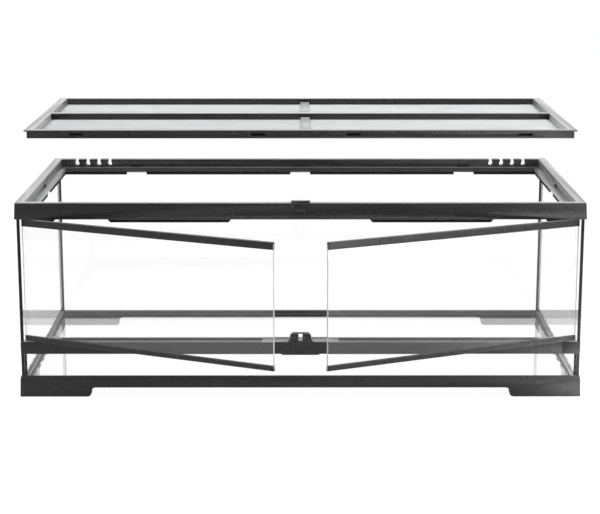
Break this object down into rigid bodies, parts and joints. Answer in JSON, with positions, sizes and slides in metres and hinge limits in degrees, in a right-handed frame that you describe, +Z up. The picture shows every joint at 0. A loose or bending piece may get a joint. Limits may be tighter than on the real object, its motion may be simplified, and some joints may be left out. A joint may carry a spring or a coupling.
{
  "type": "terrarium cabinet",
  "caption": "Low, wide glass terrarium with front doors ajar, a vented sill with a press latch, and a screen cover lifted off its recessed top frame.",
  "frame": {"origin": "on the plane that the four feet stand on, under the middle of the space that the object takes as drawn, with its doors ajar", "axes": "+X along the cabinet's width to the right as seen from the front, +Y from the doors to the back pane, +Z up"},
  "size_m": [0.9066, 0.6284, 0.4315],
  "materials": {
    "pane_glass": "clear float glass with polished edges",
    "black_silicone": "satin black silicone",
    "frame_plastic": "fine-textured charcoal moulded plastic",
    "rail_plastic": "satin charcoal extruded plastic",
    "pin_steel": "plain drawn steel",
    "screen_wire": "fine woven bright wire"
  },
  "bodies": {
    "cabinet": {"base_frame": "frame_plastic", "floor_glass": "pane_glass", "left_glass": "pane_glass", "right_glass": "pane_glass", "back_glass": "pane_glass", "sill_glass": "pane_glass", "floor_seal": "black_silicone", "back_corner_seals": "black_silicone", "front_corner_seals": "black_silicone", "front_edge_trims": "black_silicone", "sill_rail": "rail_plastic", "vent_strips": "rail_plastic", "left_lower_hinge": "rail_plastic", "right_lower_hinge": "rail_plastic", "left_upper_hinge": "rail_plastic", "right_upper_hinge": "rail_plastic", "top_frame": "frame_plastic"},
    "left_door": {"left_door_glass": "pane_glass", "left_door_top_rail": "rail_plastic", "left_door_bottom_rail": "rail_plastic", "left_door_pins": "pin_steel"},
    "right_door": {"right_door_glass": "pane_glass", "right_door_top_rail": "rail_plastic", "right_door_bottom_rail": "rail_plastic", "right_door_pins": "pin_steel"},
    "door_latch": {"door_latch": "rail_plastic"},
    "cover_latch": {"cover_latch": "frame_plastic"},
    "cover": {"cover_frame": "frame_plastic", "cover_long_bar": "frame_plastic", "cover_short_bars": "frame_plastic", "cover_screen": "screen_wire", "screen_clamp": "frame_plastic"}
  },
  "joints": [
    {"name": "left_door_hinge", "type": "hinge", "parent": "cabinet", "child": "left_door", "pos_m": [-0.4372, -0.13371, 0.1918], "axis": [0, 0, -1], "range_deg": [-24.1, 85.9]},
    {"name": "right_door_hinge", "type": "hinge", "parent": "cabinet", "child": "right_door", "pos_m": [0.4372, -0.13371, 0.1918], "axis": [0, 0, 1], "range_deg": [-24.1, 85.9]},
    {"name": "door_latch_press", "type": "slide", "parent": "cabinet", "child": "door_latch", "axis": [0, 0, 1], "range_m": [-0.0148, 0]},
    {"name": "cover_latch_slide", "type": "slide", "parent": "cabinet", "child": "cover_latch", "axis": [0, 1, 0], "range_m": [0, 0.005]},
    {"name": "cover_lift", "type": "slide", "parent": "cabinet", "child": "cover", "axis": [0, 0, 1], "range_m": [-0.114, 0.09]}
  ]
}
